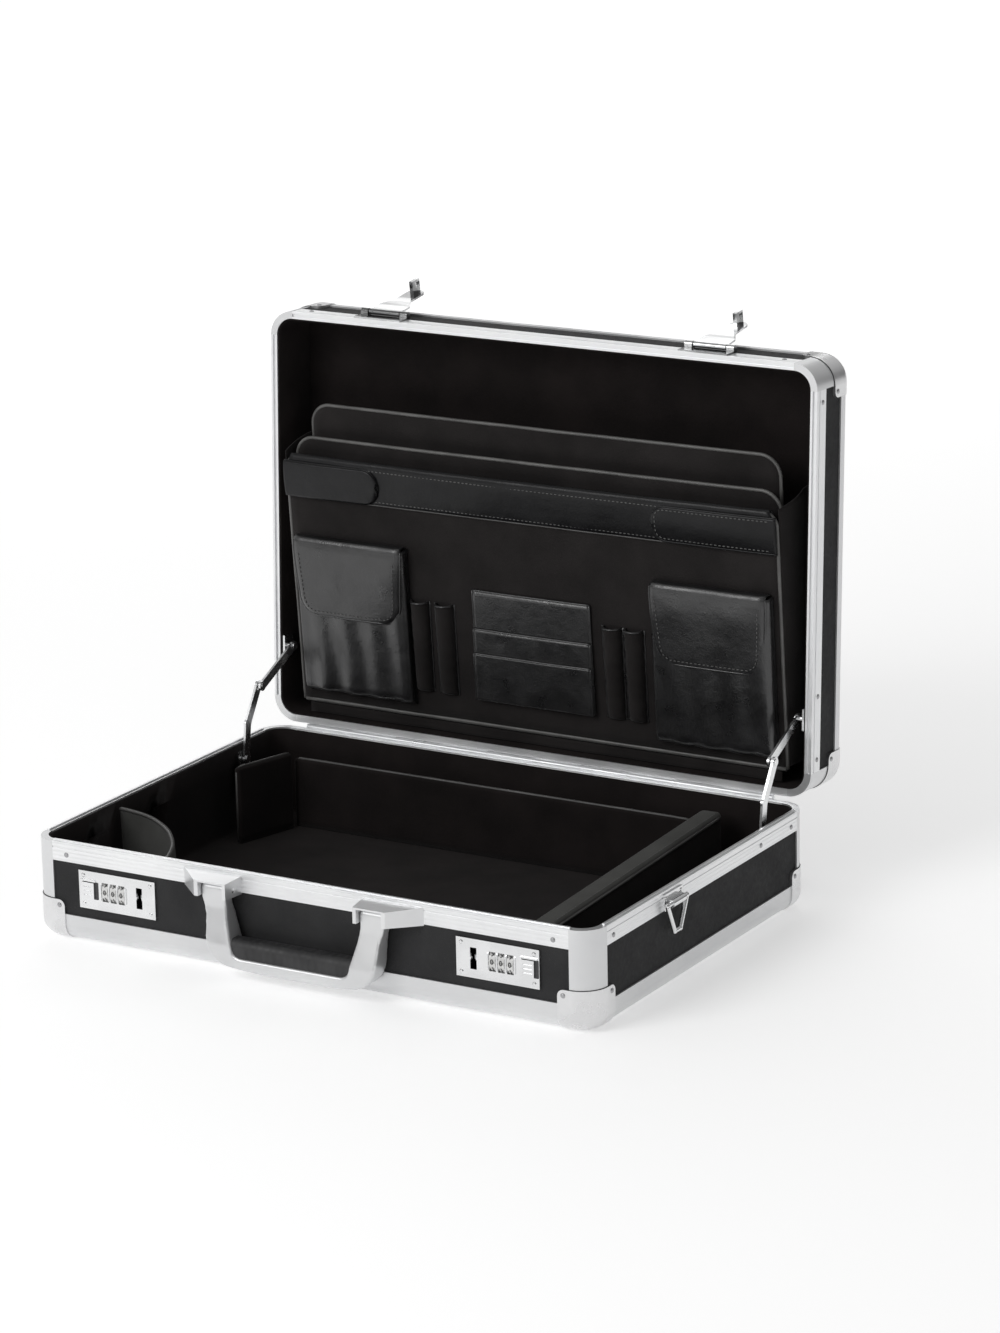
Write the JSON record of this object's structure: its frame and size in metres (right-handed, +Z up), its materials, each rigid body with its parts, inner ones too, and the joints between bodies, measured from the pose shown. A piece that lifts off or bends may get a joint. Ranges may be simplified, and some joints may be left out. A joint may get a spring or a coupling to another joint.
{
  "type": "laptop attache case",
  "caption": "Aluminium framed hard attache case with black panels, combination locks, folding handle, strap rings, lid stays and a lid organiser, shown open",
  "frame": {"origin": "centre of the outer face of the floor panel", "axes": "X to the right along the front, Y to the back towards the hinge, Z up; the lid stands open and the handle hangs"},
  "size_m": [0.4742, 0.4169, 0.4153],
  "materials": {
    "frame_aluminium": "satin anodised, fine lengthwise ridges",
    "corner_chrome": "bright plated",
    "hardware_chrome": "bright plated",
    "hinge_steel": "brushed",
    "stay_steel": "nickel plated",
    "panel_black": "fine leather grain",
    "lining_fabric": "short nap nylon",
    "divider_grey": "padded, charcoal",
    "pouch_leather": "smooth, semi gloss",
    "handle_silver": "satin silver",
    "grip_rubber": "matt",
    "lock_cover": "moulded, fine grain",
    "dial_plastic": "moulded"
  },
  "bodies": {
    "base": {"base_floor_panel": "panel_black", "base_wall_panels": "panel_black", "base_rims": "frame_aluminium", "base_edge_strips": "frame_aluminium", "base_corner_posts": "frame_aluminium", "base_corner_caps": "corner_chrome", "base_rivets": "corner_chrome", "base_lining": "lining_fabric", "divider_right": "divider_grey", "divider_rear": "lining_fabric", "divider_left": "lining_fabric", "divider_strap": "divider_grey", "handle_brackets": "frame_aluminium", "handle_pins": "hardware_chrome", "lock_plates": "hardware_chrome", "lock_housings": "lock_cover", "strap_brackets": "hardware_chrome", "stay_brackets_base": "stay_steel", "hinge_base_leaf": "hinge_steel", "hinge_pin": "hinge_steel"},
    "lid": {"lid_top_panel": "panel_black", "lid_wall_panels": "panel_black", "lid_rims": "frame_aluminium", "lid_edge_strips": "frame_aluminium", "lid_corner_posts": "frame_aluminium", "lid_corner_caps": "corner_chrome", "lid_rivets": "corner_chrome", "lid_lining": "lining_fabric", "hinge_lid_leaf": "hinge_steel", "stay_brackets_lid": "stay_steel", "hasp_plates": "hardware_chrome", "organiser_gussets": "lining_fabric"},
    "handle": {"handle_shell": "handle_silver", "handle_grip": "grip_rubber"},
    "ring_left": {"strap_ring_left": "hardware_chrome"},
    "ring_right": {"strap_ring_right": "hardware_chrome"},
    "dial_left_1": {"dial_left_1": "dial_plastic"},
    "dial_left_2": {"dial_left_2": "dial_plastic"},
    "dial_left_3": {"dial_left_3": "dial_plastic"},
    "lock_left": {"lock_button_left": "hardware_chrome", "lock_bolt_left": "hinge_steel"},
    "stay_lower_left": {"stay_lower_left": "stay_steel"},
    "stay_upper_left": {"stay_upper_left": "stay_steel"},
    "hasp_left": {"hasp_left": "hardware_chrome"},
    "flap_left": {"pocket_flap_left": "pouch_leather"},
    "dial_right_1": {"dial_right_1": "dial_plastic"},
    "dial_right_2": {"dial_right_2": "dial_plastic"},
    "dial_right_3": {"dial_right_3": "dial_plastic"},
    "lock_right": {"lock_button_right": "hardware_chrome", "lock_bolt_right": "hinge_steel"},
    "stay_lower_right": {"stay_lower_right": "stay_steel"},
    "stay_upper_right": {"stay_upper_right": "stay_steel"},
    "hasp_right": {"hasp_right": "hardware_chrome"},
    "flap_right": {"pocket_flap_right": "pouch_leather"},
    "organiser": {"organiser_dividers": "lining_fabric", "organiser_front": "lining_fabric", "organiser_pouches": "pouch_leather", "organiser_slots": "lining_fabric", "organiser_tabs": "pouch_leather"}
  },
  "joints": [
    {"name": "lid_hinge", "type": "hinge", "parent": "base", "child": "lid", "pos_m": [0, 0.1615, 0.07215], "axis": [1, 0, 0], "range_deg": [0, 92.3]},
    {"name": "handle_swing", "type": "hinge", "parent": "base", "child": "handle", "pos_m": [0, -0.168, 0.062], "axis": [-1, 0, 0], "range_deg": [0, 90]},
    {"name": "ring_swing_right", "type": "hinge", "parent": "base", "child": "ring_right", "pos_m": [0.2341, -0.049, 0.063], "axis": [0, -1, 0], "range_deg": [0, 150]},
    {"name": "ring_swing_left", "type": "hinge", "parent": "base", "child": "ring_left", "pos_m": [-0.2341, -0.049, 0.063], "axis": [0, 1, 0], "range_deg": [0, 150]},
    {"name": "dial_left_1_turn", "type": "hinge", "parent": "base", "child": "dial_left_1", "pos_m": [-0.166, -0.1517, 0.04], "axis": [1, 0, 0], "continuous": true},
    {"name": "dial_left_2_turn", "type": "hinge", "parent": "base", "child": "dial_left_2", "pos_m": [-0.159, -0.1517, 0.04], "axis": [1, 0, 0], "continuous": true},
    {"name": "dial_left_3_turn", "type": "hinge", "parent": "base", "child": "dial_left_3", "pos_m": [-0.152, -0.1517, 0.04], "axis": [1, 0, 0], "continuous": true},
    {"name": "dial_right_1_turn", "type": "hinge", "parent": "base", "child": "dial_right_1", "pos_m": [0.152, -0.1517, 0.04], "axis": [1, 0, 0], "continuous": true},
    {"name": "dial_right_2_turn", "type": "hinge", "parent": "base", "child": "dial_right_2", "pos_m": [0.159, -0.1517, 0.04], "axis": [1, 0, 0], "continuous": true},
    {"name": "dial_right_3_turn", "type": "hinge", "parent": "base", "child": "dial_right_3", "pos_m": [0.166, -0.1517, 0.04], "axis": [1, 0, 0], "continuous": true},
    {"name": "lock_slide_left", "type": "slide", "parent": "base", "child": "lock_left", "axis": [1, 0, 0], "range_m": [0, 0.003], "stiffness_N_per_m": 300, "springref_m": -0.001},
    {"name": "stay_lower_left_pivot", "type": "hinge", "parent": "base", "child": "stay_lower_left", "pos_m": [-0.2199, 0.105, 0.059], "axis": [1, 0, 0], "range_deg": [0, 90.7]},
    {"name": "stay_upper_left_pivot", "type": "hinge", "parent": "lid", "child": "stay_upper_left", "pos_m": [-0.2165, 0.16977, 0.13237], "axis": [1, 0, 0], "range_deg": [-117.5, 0]},
    {"name": "hasp_left_swing", "type": "hinge", "parent": "lid", "child": "hasp_left", "pos_m": [-0.137, 0.18835, 0.39543], "axis": [1, 0, 0], "range_deg": [0, 170]},
    {"name": "lock_slide_right", "type": "slide", "parent": "base", "child": "lock_right", "axis": [1, 0, 0], "range_m": [0, 0.003], "stiffness_N_per_m": 300, "springref_m": -0.001},
    {"name": "stay_lower_right_pivot", "type": "hinge", "parent": "base", "child": "stay_lower_right", "pos_m": [0.2199, 0.105, 0.059], "axis": [1, 0, 0], "range_deg": [0, 90.7]},
    {"name": "stay_upper_right_pivot", "type": "hinge", "parent": "lid", "child": "stay_upper_right", "pos_m": [0.2165, 0.16977, 0.13237], "axis": [1, 0, 0], "range_deg": [-117.5, 0]},
    {"name": "hasp_right_swing", "type": "hinge", "parent": "lid", "child": "hasp_right", "pos_m": [0.137, 0.18835, 0.39543], "axis": [1, 0, 0], "range_deg": [0, 170]},
    {"name": "organiser_lean", "type": "hinge", "parent": "lid", "child": "organiser", "pos_m": [0, 0.17234, 0.08923], "axis": [1, 0, 0], "range_deg": [-7.1, 0]},
    {"name": "flap_left_fold", "type": "hinge", "parent": "organiser", "child": "flap_left", "pos_m": [-0.153, 0.15807, 0.22622], "axis": [1, 0, 0], "range_deg": [-88, 0]},
    {"name": "flap_right_fold", "type": "hinge", "parent": "organiser", "child": "flap_right", "pos_m": [0.153, 0.15807, 0.22622], "axis": [1, 0, 0], "range_deg": [-88, 0]}
  ],
  "couplings": [
    {"joint": "organiser_lean", "follows": "lid_hinge", "ratio": -0.07584},
    {"joint": "stay_lower_left_pivot", "follows": "lid_hinge", "ratio": 0.98093},
    {"joint": "stay_upper_left_pivot", "follows": "lid_hinge", "ratio": -1.2713},
    {"joint": "stay_lower_right_pivot", "follows": "lid_hinge", "ratio": 0.98093},
    {"joint": "stay_upper_right_pivot", "follows": "lid_hinge", "ratio": -1.2713}
  ]
}
